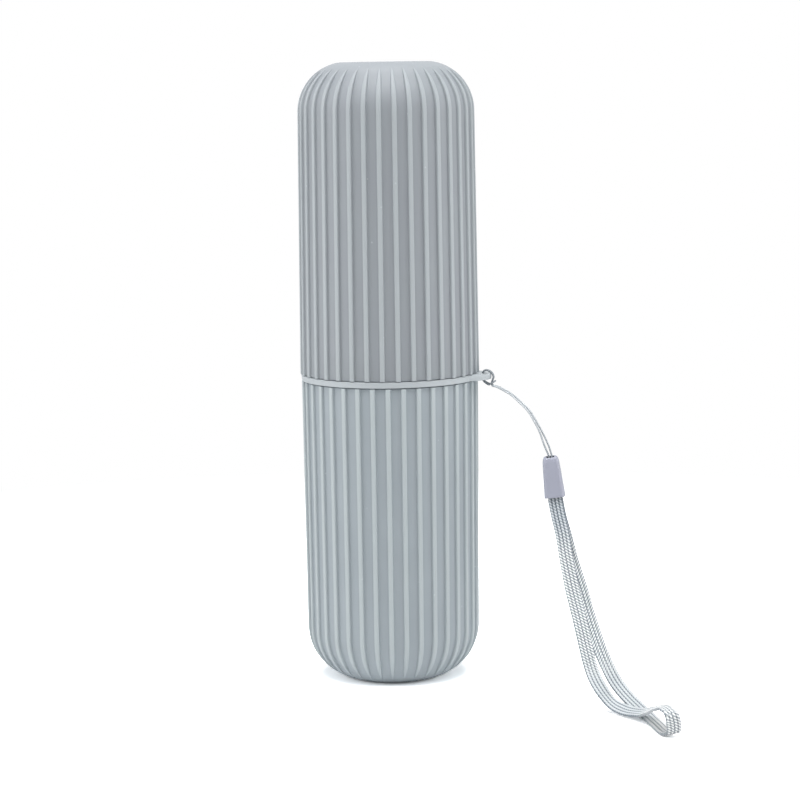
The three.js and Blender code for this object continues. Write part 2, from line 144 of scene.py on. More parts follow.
# %% Smooth routes and the frames along them
def smooth_route(points, steps, spacing=0.5):
    """Points on a Catmull-Rom curve, so many from each given point to the next."""
    points = np.array(points, float)
    padded = np.vstack([2 * points[0] - points[1], points, 2 * points[-1] - points[-2]])
    p0, p1, p2, p3 = padded[:-3], padded[1:-2], padded[2:-1], padded[3:]
    steps_between = ((p0, p1), (p1, p2), (p2, p3))
    t0, t1, t2 = [np.linalg.norm(b - a, axis=1, keepdims=True) ** spacing for a, b in steps_between]
    leave = ((p1 - p0) / t0 - (p2 - p0) / (t0 + t1) + (p2 - p1) / t1) * t1
    arrive = ((p2 - p1) / t1 - (p3 - p1) / (t1 + t2) + (p3 - p2) / t2) * t1
    share = (np.arange(steps) / steps)[None, :, None]
    p1, p2, leave, arrive = [value[:, None, :] for value in (p1, p2, leave, arrive)]
    cubic = 2 * p1 - 2 * p2 + leave + arrive
    square = -3 * p1 + 3 * p2 - 2 * leave - arrive
    curve = ((cubic * share + square) * share + leave) * share + p1
    return np.vstack([curve.reshape(-1, points.shape[1]), points[-1]])


def unit(vectors):
    """The same directions, each of length one."""
    return vectors / np.linalg.norm(vectors, axis=-1, keepdims=True)


def travelled(points):
    """How far along the route each point lies."""
    return np.concatenate([[0], np.cumsum(np.linalg.norm(np.diff(points, axis=0), axis=1))])


def smoothstep(value, low, high):
    """Rises from 0 to 1 between low and high, level at both."""
    share = np.clip((value - low) / (high - low), 0, 1)
    return share * share * (3 - 2 * share)


# %% [markdown]
# ## The thin cord
# One thin braided cord runs from the cap to the ear, is hitched round the ear's outer bar, and
# runs back. A curve with a round bevel would do for its shape. It is lofted here, because the
# braid has to run along the cord without twisting, whichever way the cord bends.

# %% Cord route
cord_diameter = 0.6
cord_sides = 12
cord_steps = 7
cap_roof = (58, -21.9, 80)
# Each row is a point midway between the two runs, then half the way from one run to the other.
cord_rows = [
    (58.95, -22.1, 71.4, 0.46, 0, 0),
    (58.5, -22, 75.5, 0.5, 0, 0),
    (*cap_roof, 0.52, 0, 0),
    (57.2, -21.15, 82, 0.62, 0.25, 0),
    (56.3, -20.3, 83.9, 0.6, 0.45, 0),
    (54.6, -18.7, 87.3, 0.38, 0.38, 0),
    (52.3, -16.7, 90.9, 0.31, 0.34, 0),
    (50, -14.7, 93.9, 0.3, 0.34, 0),
    (46.9, -12, 96.3, 0.3, 0.34, 0),
    (43.5, -8.9, 98.5, 0.3, 0.34, 0),
    (39.5, -5.5, 100.1, 0.3, 0.34, 0),
    (37.6, -3.5, 100.6, 0.27, 0.38, 0),
    (36.4, -1.8, 100.6, 0.2, 0.42, 0),
    (35.65, -0.6, 100.6, 0.08, 0.42, 0),
    (35.25, 0, 101.25, 0, 0.42, 0),
    (35.5, 0, 102.4, 0, 0.45, 0),
    (35.85, 0, 103.4, 0, 0.45, 0),
    (35.5, 0, 104.6, 0, 0.45, 0),
    (34.5, 0, 105.5, 0, 0.45, 0),
    (33.2, 0, 105.8, 0, 0.45, 0),
    (32.35, 0, 105.25, 0, 0.45, 0),
    (32.15, 0, 104.1, 0, 0.45, 0),
    (32.15, 0, 102.9, 0, 0.48, 0),
    (32.6, 0, 102.1, 0, 0.65, 0),
    (33.5, 0, 101.4, 0, 1, 0),
    (34.5, 0, 101, 0, 1.28, 0),
    (35.65, 0, 101.65, 0, 1.18, 0),
]
cord_bight = (36.45, 0, 102.15)

cord_table = np.array(cord_rows)
near_run = cord_table[:, :3] - cord_table[:, 3:]
far_run = cord_table[:, :3] + cord_table[:, 3:]
cord_line = smooth_route(np.vstack([near_run, cord_bight, far_run[::-1]]), cord_steps)
print("cord length", round(travelled(cord_line)[-1], 1), "mm")


# %% Cord
def tube_rings(line, radius, sides):
    """Rings square to a line, each turned no further than the line's own bend turns it."""
    ahead = unit(np.gradient(line, axis=0))
    aside = unit(np.cross(ahead[0], (0, 1, 0)))
    rings = []
    for centre, direction in zip(line, ahead):
        aside = unit(aside - direction * np.dot(aside, direction))
        over = np.cross(direction, aside)
        turn = np.linspace(0, 2 * math.pi, sides, endpoint=False)[:, None]
        rings.append(centre + radius * (np.cos(turn) * aside + np.sin(turn) * over))
    return np.array(rings)


cord = loft(
    "braided_cord",
    tube_rings(cord_line, cord_diameter / 2, cord_sides),
    around=np.linspace(0, math.pi * cord_diameter, cord_sides + 1),
    along=travelled(cord_line),
)

# %% [markdown]
# ## The wrist strap
# The loop is a knitted ribbon: four rounded ridges side by side with thin dark valleys between
# them. Both its ends go up into the cap, drawn together by the crimp. It could be a flat strip
# with a picture of the knitting, but then its edge would look cut out, so the ridges are shaped.

# %% Strap route
strap_steps = 24
mouth_front = (59.55, -22.8, 66.2)
mouth_back = (59.65, -21.6, 66.2)
# Each row is a point on the centre line, then the direction across the strap's width.
strap_rows = [
    (59.05, -22.6, 70.7, 1, 0, 0),
    (59.31, -22.68, 68.3, 1, 0, 0),
    (*mouth_front, 1, 0, 0),
    (60.9, -24.5, 60.4, 0.99, -0.12, 0),
    (62.5, -26.6, 54.8, 0.99, -0.13, 0.05),
    (64, -28.7, 47.2, 0.99, -0.04, 0.11),
    (66.2, -31.6, 37.8, 0.93, 0.31, 0.18),
    (69.1, -35, 27.9, 0.82, 0.51, 0.28),
    (71.8, -37.9, 17.9, 0.74, 0.57, 0.36),
    (73.8, -39.9, 11.8, 0.66, 0.64, 0.4),
    (76.9, -42.9, 7, 0.56, 0.71, 0.44),
    (80.6, -45.2, 3.2, 0.29, 0.86, 0.42),
    (85.4, -49.6, 2, -0.03, 0.94, 0.34),
    (90.4, -54.6, 2.6, -0.07, 0.99, 0.1),
    (94.6, -60.5, 4.9, 0.06, 1, -0.02),
    (98.2, -69, 8, 0.33, 0.95, -0.02),
    (100.8, -75.2, 9.4, 0.59, 0.81, 0),
    (102.6, -77.5, 8.4, 0.82, 0.58, -0.05),
    (103.4, -76.4, 5, 0.9, 0.44, -0.03),
    (103.1, -74.7, 1.9, 0.85, 0.53, 0.04),
    (101, -71.9, 1, 0.7, 0.71, 0.08),
    (97.2, -62.6, 1, 0.68, 0.72, 0.13),
    (92.8, -51.9, 1.2, 0.69, 0.71, 0.15),
    (88.8, -44.8, 2.2, 0.7, 0.66, 0.26),
    (84.7, -40.9, 4.9, 0.72, 0.62, 0.31),
    (81.1, -37.8, 8.4, 0.76, 0.57, 0.31),
    (78, -35.2, 13.2, 0.8, 0.54, 0.27),
    (74.9, -32.8, 19.5, 0.83, 0.51, 0.22),
    (71.6, -30.2, 27.9, 0.87, 0.46, 0.17),
    (68.8, -28.3, 36.5, 0.93, 0.36, 0.11),
    (65.4, -26, 46, 0.98, 0.19, 0.06),
    (62.9, -24.3, 54.3, 1, -0.02, 0),
    (61, -22.7, 60.1, 0.99, -0.11, 0),
    (*mouth_back, 1, 0, 0),
    (59.33, -21.62, 68.3, 1, 0, 0),
    (59.05, -21.6, 70.7, 1, 0, 0),
]
strap_table = np.array(strap_rows)
strap_line = smooth_route(strap_table[:, :3], strap_steps)
strap_ahead = unit(np.gradient(strap_line, axis=0))
strap_across = smooth_route(strap_table[:, 3:], strap_steps, spacing=0)
strap_across -= strap_ahead * np.sum(strap_across * strap_ahead, axis=1, keepdims=True)
strap_across = unit(strap_across)
strap_through = np.cross(strap_ahead, strap_across)
strap_along = travelled(strap_line)
print("strap length", round(strap_along[-1], 1), "mm")

# %% Strap
strap_width = 4.7
strap_thickness = 1
strap_crimped_share = 0.5
strap_crimped_length = 2.4
strap_opening_length = 3
ridge_count = 4
ridge_points = 7
valley_share = 0.55

from_end = np.minimum(strap_along, strap_along[-1] - strap_along)
opened = smoothstep(from_end - strap_crimped_length, 0, strap_opening_length)
strap_size = strap_crimped_share + (1 - strap_crimped_share) * opened

ridge_place = np.linspace(0, ridge_count, ridge_count * ridge_points + 1)
ridge_bulge = np.sqrt(np.abs(np.sin(math.pi * ridge_place)))
half_thickness = strap_thickness / 2 * (valley_share + (1 - valley_share) * ridge_bulge)
half_width = strap_width * (ridge_place / ridge_count - 1 / 2)
section_across = np.concatenate([half_width, half_width[::-1]])
section_through = np.concatenate([half_thickness, -half_thickness[::-1]])
strap_rings = strap_line[:, None, :] + strap_size[:, None, None] * (
    section_across[None, :, None] * strap_across[:, None, :]
    + section_through[None, :, None] * strap_through[:, None, :]
)
strap = loft(
    "knitted_wrist_strap",
    strap_rings,
    around=np.append(section_across, section_across[0]),
    along=strap_along,
)

# %% [markdown]
# ## The cups
# Each cup is a moulded shell. Its wall leans by less than half a degree, which lets it leave the
# mould, and its closed end is a large round corner cut off flat. Thirty-six ribs run down the
# wall, and narrow to a rounded tip on the end. Ribs could be copied round with an array
# modifier, but here each point of one turned surface is moved to its place on the nearest rib,
# so that the tips melt into the end without a seam.

# %% Cup sizes
lower_cup = {"height": 102.5, "mouth": 30.1, "draft": 0.37, "corner": 18.3, "cut": 0.55}
upper_cup = {"height": 105, "mouth": 30.55, "draft": 0.45, "corner": 16.7, "cut": 0.2}
case_height = 210
upper_turn = math.radians(6.7)
wall_thickness = 1.5
rib_height = 0.9
rim_radius = 0.22


def cup_measures(cup):
    """The wall's slope, then the corner's top, its arc's centre and last angle, and the flat's radius."""
    slope = math.tan(math.radians(cup["draft"]))
    corner_top = cup["corner"] - cup["cut"]
    centre = cup["mouth"] - (cup["height"] - corner_top) * slope - cup["corner"]
    last_angle = math.asin(corner_top / cup["corner"])
    flat = centre + cup["corner"] * math.cos(last_angle)
    return slope, corner_top, centre, last_angle, flat


print("flat radii", [round(cup_measures(cup)[-1], 2) for cup in (lower_cup, upper_cup)])


# %% Rows along a cup's outside
gate_radius, gate_depth, gate_edge = 1.5, 0.2, 0.15
gate_shares = (0.2, 0.8, 0.9)
flat_shares, flat_border = (0.4, 0.8), 0.3
corner_skipped = 0.02
corner_rows, wall_rows = 30, 9
rim_angles = (35, 65, 90)


def outer_rows(cup):
    """Rows of radius, height and outward direction along the rib crests, closed end to mouth."""
    slope, corner_top, centre, last_angle, flat = cup_measures(cup)
    rows = [(gate_radius * share, gate_depth, 0, -1) for share in gate_shares]
    on_flat = [gate_radius, gate_radius + gate_edge, *(flat * share for share in flat_shares)]
    rows += [(radius, 0, 0, -1) for radius in on_flat + [flat - flat_border]]
    for angle in np.linspace(last_angle - corner_skipped, 0, corner_rows):
        out, down = math.cos(angle), math.sin(angle)
        rows.append((centre + cup["corner"] * out, corner_top - cup["corner"] * down, out, -down))
    rim_foot = cup["height"] - rim_radius
    for height in np.linspace(corner_top, rim_foot, wall_rows)[1:]:
        rows.append((cup["mouth"] - (cup["height"] - height) * slope, height, 1, 0))
    for angle in np.radians(rim_angles):
        inset = rim_radius * (1 - math.cos(angle))
        rows.append((cup["mouth"] - inset, rim_foot + rim_radius * math.sin(angle), 1, 0))
    return np.array(rows)


print("rows along the outside", len(outer_rows(lower_cup)))

# %% Rows along a cup's inside
groove_middle = 97.8
# Half the snap groove's section, from above it to its floor: height from its middle, and depth.
half_groove = [(1.2, 0), (1, 0.08), (0.62, 0.42), (0.4, 0.5)]
groove_section = half_groove + [(-height, depth) for height, depth in half_groove[::-1]]
plain_wall_start = 12
inner_wall_rows, inner_corner_rows = 7, 13
floor_share, floor_centre = 0.6, 0.4


def inner_rows(cup, grooved):
    """Rows of radius and height of the smooth inside, from the mouth down to the floor."""
    slope, corner_top, centre, _, _ = cup_measures(cup)
    mouth_inside = cup["mouth"] - rib_height - wall_thickness

    def wall(height):
        return mouth_inside - (cup["height"] - height) * slope

    rows = [(mouth_inside + rim_radius, cup["height"]), (mouth_inside, cup["height"] - rim_radius)]
    if grooved:
        for height, depth in groove_section:
            rows.append((wall(groove_middle + height) + depth, groove_middle + height))
    for height in np.linspace(cup["height"] - plain_wall_start, corner_top, inner_wall_rows):
        rows.append((wall(height), height))
    corner = cup["corner"] - rib_height - wall_thickness
    for angle in np.linspace(0, math.pi / 2, inner_corner_rows)[1:]:
        rows.append((centre + corner * math.cos(angle), corner_top - corner * math.sin(angle)))
    floor = corner_top - corner
    return np.array(rows + [(centre * floor_share, floor), (floor_centre, floor)])


print("rows along the inside", len(inner_rows(lower_cup, True)))

# %% Rib sections round a cup
rib_count = 36
# How far out from the flat's edge a rib starts, looks raised, is full height, and is full width.
rib_start, rib_high, rib_full, rib_wide = 4.9, 8.3, 11, 13
rib_tip_share = 0.3
section_room = 1.6
# How far beyond that raised look the crest's painted highlight is full, and the crease's painted shade starts
# and is full.
crest_highlight_full, crease_shade_start, crease_shade_full = 8, 4, 9
tip_highlight_share = 0.4
# Half a rib's section, from its groove to its crest: how far aside, share of height, and painted shading.
# The painted shading goes from 0 in the groove to -1, painted shade, in the crease at the rib's foot,
# and 1, a painted highlight, on its flank and crest.
half_section = [
    (-1.45, 0, 0),
    (-1.15, 0, -0.6),
    (-0.95, 0.03, -1),
    (-0.86, 0.2, -0.2),
    (-0.78, 0.62, 0.9),
    (-0.7, 0.92, 1),
    (-0.5, 1, 1),
    (0, 1, 1),
]
rib_section = half_section + [(-aside, share, painted_shading) for aside, share, painted_shading in half_section[-2::-1]]


def cup_rings(cup, grooved):
    """A cup's closed surface as rings of radius, angle, height and painted shading, standing on its closed
    end.
    """
    flat = cup_measures(cup)[-1]
    rows = outer_rows(cup)
    radius, height, out, up = [column[:, None] for column in rows.T]
    reach = radius - flat
    rise = smoothstep(reach, rib_start, rib_full)
    spread = rib_tip_share + (1 - rib_tip_share) * smoothstep(reach, rib_start, rib_wide)
    aside, share, painted_shading = np.array([(0, 0, 0)] + rib_section).T
    pitch = 2 * math.pi / rib_count
    rib = np.repeat(np.arange(rib_count), len(aside))
    in_groove = np.tile(np.arange(len(aside)) == 0, rib_count)
    aside, share, painted_shading = [np.tile(values, rib_count) for values in (aside, share, painted_shading)]
    drop = rib_height * rise * (1 - share)
    ring_radius = radius - drop * out
    narrow = np.minimum(spread, radius * pitch / 2 / section_room)
    angle = pitch * (rib - in_groove / 2) + aside * narrow / radius
    ring_height = height - drop * up
    inside = inner_rows(cup, grooved)
    ones = np.ones((len(inside), aside.size))
    radii = np.vstack([ring_radius, inside[:, :1] * ones])
    angles = np.vstack([angle, angle[-1] * ones])
    heights = np.vstack([ring_height, inside[:, 1:] * ones])
    # The pale end paints a highlight on the crests, and the dark end paints shade in the creases.
    tip_highlight = tip_highlight_share * smoothstep(reach, rib_start, rib_high)
    wall_highlight = (1 - tip_highlight_share) * smoothstep(reach, rib_high, rib_high + crest_highlight_full)
    crease_shade = smoothstep(reach, rib_high + crease_shade_start, rib_high + crease_shade_full)
    painted_shading_tones = np.vstack([np.where(painted_shading > 0, painted_shading * (tip_highlight + wall_highlight), painted_shading * crease_shade), 0 * ones])
    return radii, angles, heights, painted_shading_tones


print("points round a cup", cup_rings(lower_cup, True)[0].shape[1])


# %% Cups
def set_painted_shading(piece, painted_shading_tones):
    """Says how far each point's colour leans to its painted highlight, 1, or its painted shade, -1."""
    piece.data.attributes.new("painted_shading", "FLOAT", "POINT").data.foreach_set("value", painted_shading_tones.ravel())


def turned_points(radii, angles, heights):
    """Points from their radius, their angle round the case's axis, and their height."""
    x, y = radii * np.cos(angles), radii * np.sin(angles)
    return np.stack(np.broadcast_arrays(x, y, heights), axis=-1)


def make_cup(name, cup, grooved, turned_over):
    """A cup in its place: the lower one as it stands, the upper one turned over onto it."""
    radii, angles, heights, painted_shading_tones = cup_rings(cup, grooved)
    if turned_over:
        angles, heights = upper_turn - angles, case_height - heights
    piece = loft(name, turned_points(radii, angles, heights))
    set_painted_shading(piece, painted_shading_tones)
    return piece


lower = make_cup("lower_ribbed_cup", lower_cup, True, False)
upper = make_cup("upper_ribbed_cup", upper_cup, False, True)

# %% [markdown]
# ## The collar
# One slim moulding joins the cups. Its sleeve snaps into the lower cup, a narrow band shows
# between the two rims, and a neck stands up into the upper cup. An ear for the lanyard springs
# from the band. The ring is turned from its outline, the ear is an outline with rounded edges,
# and a boolean makes them one moulding.

# %% Collar outline
collar_bore = 25.95
sleeve_radius, sleeve_bottom = 27.36, 94.8
lead_in = 0.6
bead_height, bead_foot_half, bead_top_half = 0.5, 0.9, 0.4
band_bottom, band_top = 102.8, 104.8
band_middle = (band_bottom + band_top) / 2
band_low_radius, band_high_radius = 30.1, 30.35
band_hollow = 0.12
neck_foot, neck_top_radius, neck_top = 27.85, 27.78, 113.7
edge_start, bead_edge_start, inside_edge_start, hollow_start = 0.3, 0.2, 0.15, 0.6
# Each row is a radius, a height, and how far before the corner its rounding starts.
ring_outline = [
    (collar_bore, sleeve_bottom, edge_start),
    (sleeve_radius - lead_in, sleeve_bottom, edge_start),
    (sleeve_radius, sleeve_bottom + lead_in, edge_start),
    (sleeve_radius, groove_middle - bead_foot_half, bead_edge_start),
    (sleeve_radius + bead_height, groove_middle - bead_top_half, bead_edge_start),
    (sleeve_radius + bead_height, groove_middle + bead_top_half, bead_edge_start),
    (sleeve_radius, groove_middle + bead_foot_half, bead_edge_start),
    (sleeve_radius, band_bottom, inside_edge_start),
    (band_low_radius, band_bottom, edge_start),
    ((band_low_radius + band_high_radius) / 2 - band_hollow, band_middle, hollow_start),
    (band_high_radius, band_top, edge_start),
    (neck_foot, band_top, inside_edge_start),
    (neck_top_radius, neck_top - lead_in, edge_start),
    (neck_top_radius - lead_in, neck_top, edge_start),
    (collar_bore, neck_top, edge_start),
]
print("the collar's band is", round(band_top - band_bottom, 1), "mm high")


# %% Collar ring
ring_segments = 240


def round_corners(outline, points=4):
    """The outline with each corner replaced by a short curve that starts a little before it."""
    outline = np.array(outline, float)
    corners, starts = outline[:, :2], outline[:, 2]
    before, after = np.roll(corners, 1, 0), np.roll(corners, -1, 0)
    rounded = []
    for last, corner, following, start_length in zip(before, corners, after, starts):
        start = corner + unit(last - corner) * start_length
        end = corner + unit(following - corner) * start_length
        for share in np.linspace(0, 1, points):
            rounded.append((1 - share) ** 2 * start + 2 * share * (1 - share) * corner + share**2 * end)
    return np.array(rounded)


collar_radii, collar_heights = round_corners(ring_outline).T
turn = np.linspace(0, 2 * math.pi, ring_segments, endpoint=False)[:, None]
collar = loft("collar_with_ear", turned_points(collar_radii, turn, collar_heights), joined=True)

# %% Ear outline
slot_centre = 32.15
slot_half_straight = 0.45
slot_radius = 0.75
ear_tip = 35.05
ear_nose_half_width = 4.6
ear_root = 28.7
ear_root_half_width = 8.5
ear_points, slot_points = 17, 13
bend = np.linspace(0, 1, ear_points)
side_x = (1 - bend) ** 2 * ear_root + (1 - (1 - bend) ** 2) * ear_tip
side_y = (1 - bend) ** 2 * ear_root_half_width + 2 * bend * (1 - bend) * ear_nose_half_width
ear_outline = list(zip(side_x, -side_y)) + list(zip(side_x[-2::-1], side_y[-2::-1]))
slot_outline = []
for side, turns in ((1, (0, math.pi)), (-1, (math.pi, 2 * math.pi))):
    for angle in np.linspace(*turns, slot_points):
        out = slot_half_straight + slot_radius * abs(math.sin(angle))
        slot_outline.append((slot_centre + slot_radius * math.cos(angle), side * out))
print("the ear reaches", round(ear_tip - band_high_radius, 2), "mm past the band")


# %% Ear
def finished_mesh(piece):
    """The mesh that a curve or a modifier gives the piece."""
    bpy.context.view_layer.update()
    depsgraph = bpy.context.evaluated_depsgraph_get()
    return bpy.data.meshes.new_from_object(piece.evaluated_get(depsgraph))


ear_edge, ear_edge_steps = 0.35, 3
weld_reach = 0.001
ear_curve = bpy.data.curves.new("ear", "CURVE")
ear_curve.dimensions = "2D"
ear_curve.fill_mode = "BOTH"
ear_curve.extrude = ((band_top - band_bottom) / 2 - ear_edge) * mm
ear_curve.bevel_depth = ear_edge * mm
ear_curve.bevel_resolution = ear_edge_steps
ear_curve.offset = -ear_edge * mm
for outline in (ear_outline, slot_outline):
    spline = ear_curve.splines.new("POLY")
    spline.points.add(len(outline) - 1)
    for point, (x, y) in zip(spline.points, outline):
        point.co = (x * mm, y * mm, 0, 1)
    spline.use_cyclic_u = True
ear = new_object("ear", ear_curve)
ear.location.z = band_middle * mm
ear_mesh = finished_mesh(ear)
ear_mesh.transform(ear.matrix_world)
ear_solid = new_object("ear_solid", ear_mesh)
welded = bmesh.new()
welded.from_mesh(ear_mesh)
bmesh.ops.remove_doubles(welded, verts=welded.verts, dist=weld_reach * mm)
bmesh.ops.recalc_face_normals(welded, faces=welded.faces)
welded.to_mesh(ear_mesh)
print("open edges of the ear", sum(not edge.is_manifold for edge in welded.edges))
welded.free()

# %% Join the ear and the ring
sharp_angle = 40
union = collar.modifiers.new("union", "BOOLEAN")
union.operation = "UNION"
union.solver = "EXACT"
union.object = ear_solid
joined_mesh = finished_mesh(collar)
collar.modifiers.clear()
collar.data = joined_mesh
joined_mesh.shade_smooth()
joined_mesh.set_sharp_from_angle(angle=math.radians(sharp_angle))
bpy.data.objects.remove(ear)
bpy.data.objects.remove(ear_solid)
print("collar faces", len(joined_mesh.polygons))

# %% [markdown]
# ## The cap
# A small moulded cap hides the joint of cord and strap. It tapers towards round shoulders, and
# the cord leaves by a slot in its roof. The roof is cut down in front of the slot, to a lower lip
# over which the slot shows, darkened with painted shade. The cap is lofted as one closed surface: up the
# outside, over the roof, down the slot and back down the hollow, so that it is a real shell from any side.

# %% A rounded rectangle
least_straight = 0.001
side_shares = (0.05, 0.5, 0.95)


def rounded_rectangle(width, depth, radius, corner_points=7):
    """A ring of points round a rectangle, with round corners and three points on each side."""
    radius = min(radius, width / 2 - least_straight, depth / 2 - least_straight)
    points = []
    for quarter in range(4):
        signs = ((1, 1), (-1, 1), (-1, -1), (1, -1))
        sign, following = signs[quarter], signs[(quarter + 1) % 4]
        centre = np.array(sign) * (width / 2 - radius, depth / 2 - radius)
        for angle in np.linspace(quarter, quarter + 1, corner_points) * math.pi / 2:
            points.append(centre + radius * np.array((math.cos(angle), math.sin(angle))))
        turned = (quarter + 1) * math.pi / 2
        start = points[-1]
        end = np.array(following) * (width / 2 - radius, depth / 2 - radius)
        end = end + radius * np.array((math.cos(turned), math.sin(turned)))
        points += [start + (end - start) * share for share in side_shares]
    return np.array(points)


print("points round the cap", len(rounded_rectangle(4, 3, 1)))

# %% Rings of the cap
cap_length = 13.8
cap_width, cap_depth = 6.7, 4.7
cap_corner = 1
cap_taper_share = 0.81
cap_shoulder_height = 3
cap_shoulder_inset = 1
inner_corner_share = 0.6
slot_length, slot_depth = 2.7, 1.2
lip_dip, lip_slope = 0.5, 0.3
lip_start, lip_reach = 0.1, 0.6


def cap_ring(height, wall):
    """The cap's outline at a height, drawn in by the taper, the shoulders and a wall."""
    shoulder = cap_length - cap_shoulder_height
    taper = 1 + (cap_taper_share - 1) * min(height / shoulder, 1)
    over = min(max(height - shoulder, 0) / cap_shoulder_height, 1)
    inset = 2 * (cap_shoulder_inset * (1 - math.sqrt(1 - over * over)) + wall)
    corner = cap_corner - wall * inner_corner_share
    ring = rounded_rectangle(cap_width * taper - inset, cap_depth * taper - inset, corner)
    return np.column_stack([ring, np.full(len(ring), height)])


def slot_ring(height, grown=0):
    """The slot's outline at a height."""
    ring = rounded_rectangle(slot_length + 2 * grown, slot_depth + 2 * grown, slot_depth / 2 + grown)
    return np.column_stack([ring, np.full(len(ring), height)])


def dipped(ring):
    """The ring with its front, by the slot, cut down to a lower lip."""
    across, through, height = ring.T
    lip = cap_length - lip_dip + lip_slope * (height - cap_length)
    in_front = smoothstep(-through, lip_start, lip_reach)
    by_slot = smoothstep(slot_length / 2 + lip_reach - np.abs(across), 0, lip_reach)
    return np.column_stack([across, through, height - in_front * by_slot * np.maximum(height - lip, 0)])


print("the cap's slot is", slot_length, "by", slot_depth, "mm")

# %% Rows of the cap
cap_wall = 0.65
cap_roof_thickness = 1.4
roof_inside = cap_length - cap_roof_thickness
# Heights with how far they are inset, for the rim, then heights alone for the sides.
rim_rows = ((0, 0.3), (0.02, 0.12), (0.1, 0.03), (0.25, 0))
side_heights = (1, 4, 7, 9.8)
shoulder_shares = (0, 0.3, 0.5, 0.68, 0.82, 0.92, 0.975, 1)
# How far below the roof the slot's rounded edge lies, and how much wider than the slot it is.
slot_edge_rows = ((0, 0.3), (0.03, 0.1), (0.25, 0))
slot_dipped, slot_foot = 0.35, 0.2
hollow_heights = (roof_inside, roof_inside - 0.4, 9, 5, 1, 0.2)
hollow_rim_height, hollow_rim_inset = rim_rows[1]

cap_rows = [cap_ring(height, inset) for height, inset in rim_rows]
cap_rows += [cap_ring(height, 0) for height in side_heights]
shoulder_heights = [cap_length - cap_shoulder_height * (1 - share) for share in shoulder_shares]
cap_rows += [dipped(cap_ring(height, 0)) for height in shoulder_heights]
cap_rows += [dipped(slot_ring(cap_length - below, grown)) for below, grown in slot_edge_rows]
# From this row on, the slot's walls and the hollow carry painted shade.
first_painted_shade_row = len(cap_rows)
cap_rows += [dipped(slot_ring(cap_length - slot_dipped))]
cap_rows += [slot_ring(roof_inside + slot_foot), slot_ring(roof_inside)]
cap_rows += [cap_ring(height, cap_wall) for height in hollow_heights]
cap_rows += [cap_ring(hollow_rim_height, cap_wall - hollow_rim_inset)]
print("rows of the cap", len(cap_rows), "and dark from row", first_painted_shade_row)

# %% Cap
cap_sharp_angle = 50
cap_top = np.array(cap_roof)
mouth_middle = (np.array(mouth_front) + mouth_back) / 2
cap_up = unit(cap_top - mouth_middle)
cap_across = unit(np.array((1, 0, 0)) - cap_up * cap_up[0])
cap_through = np.cross(cap_up, cap_across)
cap_axes = np.array([cap_across, cap_through, cap_up])
cap_rings = np.array(cap_rows) @ cap_axes + (cap_top - cap_up * cap_length)
cap = loft("cord_end_cap", cap_rings, joined=True)
cap.data.set_sharp_from_angle(angle=math.radians(cap_sharp_angle))
# The slot and the hollow get the dark colour of the painted shade.
cap_painted_shading = np.zeros(cap_rings.shape[:2])
cap_painted_shading[first_painted_shade_row:] = -1
set_painted_shading(cap, cap_painted_shading)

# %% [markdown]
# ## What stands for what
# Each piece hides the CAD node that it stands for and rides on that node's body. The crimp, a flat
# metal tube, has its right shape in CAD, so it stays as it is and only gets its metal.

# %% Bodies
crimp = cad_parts["cord_crimp"]
for piece, node, body, slot in (
    (lower, "lower_cup", "lower", "cup_plastic"),
    (collar, "joining_collar", "collar", "collar_plastic"),
    (upper, "upper_cup", "lid", "cup_plastic"),
    (cord, "hitch_cord", "collar", "cord_yarn"),
    (strap, "wrist_strap", "collar", "strap_webbing"),
    (cap, "cord_cap", "collar", "cap_plastic"),
):
    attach(piece, body)
    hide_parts(node)

# %% [markdown]
# ## Materials
# Every material starts from what the real thing is. Colours are written as the hex values that
# a picture shows and turned to linear light, which is what the shader adds up. Patterns are
# sized from real millimetres.


# %% Colour and node helpers
def linear(hex_colour):
    """The linear colour, with alpha, of an sRGB hex value."""
    shares = [int(hex_colour[start : start + 2], 16) / 255 for start in (1, 3, 5)]
    return [c / 12.92 if c <= 0.04045 else ((c + 0.055) / 1.055) ** 2.4 for c in shares] + [1]


def set_inputs(tree, node, inputs):
    """Gives a node's inputs their values, or links them to another node's output."""
    for key, value in inputs.items():
        if isinstance(value, bpy.types.NodeSocket):
            tree.links.new(value, node.inputs[key])
        else:
            node.inputs[key].default_value = value


def add_node(tree, kind, inputs, settings=None, output=0):
    """Adds a node with its settings and links, and returns one of its outputs."""
    node = tree.nodes.new("ShaderNode" + kind)
    for name, value in (settings or {}).items():
        setattr(node, name, value)
    set_inputs(tree, node, inputs)
    return node.outputs[output]


# Settings that several nodes share.
multiply, maximum, subtract, absolute = [
    {"operation": operation} for operation in ("MULTIPLY", "MAXIMUM", "SUBTRACT", "ABSOLUTE")
]
smooth = {"interpolation_type": "SMOOTHSTEP"}
rgba = {"data_type": "RGBA"}


def new_material(name):
    """A material with its node tree and its main shader."""
    material = bpy.data.materials.new(name)
    material.use_nodes = True
    print("material", name)
    return material, material.node_tree, material.node_tree.nodes["Principled BSDF"]


# %% [markdown]
# ### Moulded plastic
# The cups, collar and cap are injection moulded, in polypropylene by the look of their soft
# sheen. A fine spark-eroded grain in the mould scatters the light, so the gloss is broad and
# low. Polypropylene's index of refraction is 1.49. The pigment isn't mixed quite evenly, which
# shows as very faint clouds, and handling leaves a few tiny pale specks. The painted shading set on
# the points paints a highlight on the ribs and shade in the creases beside them, and paints shade in the
# cap's slot and hollow.

# %% Moulded plastic
cloud_pitch, speck_pitch = 22, 7
cloud_low, cloud_high = 0.35, 0.65
speck_edge, speck_core, speck_strength = 0.05, 0.035, 0.3
roughness_swing = 0.07
grain_depth = 0.03
polypropylene_ior = 1.49


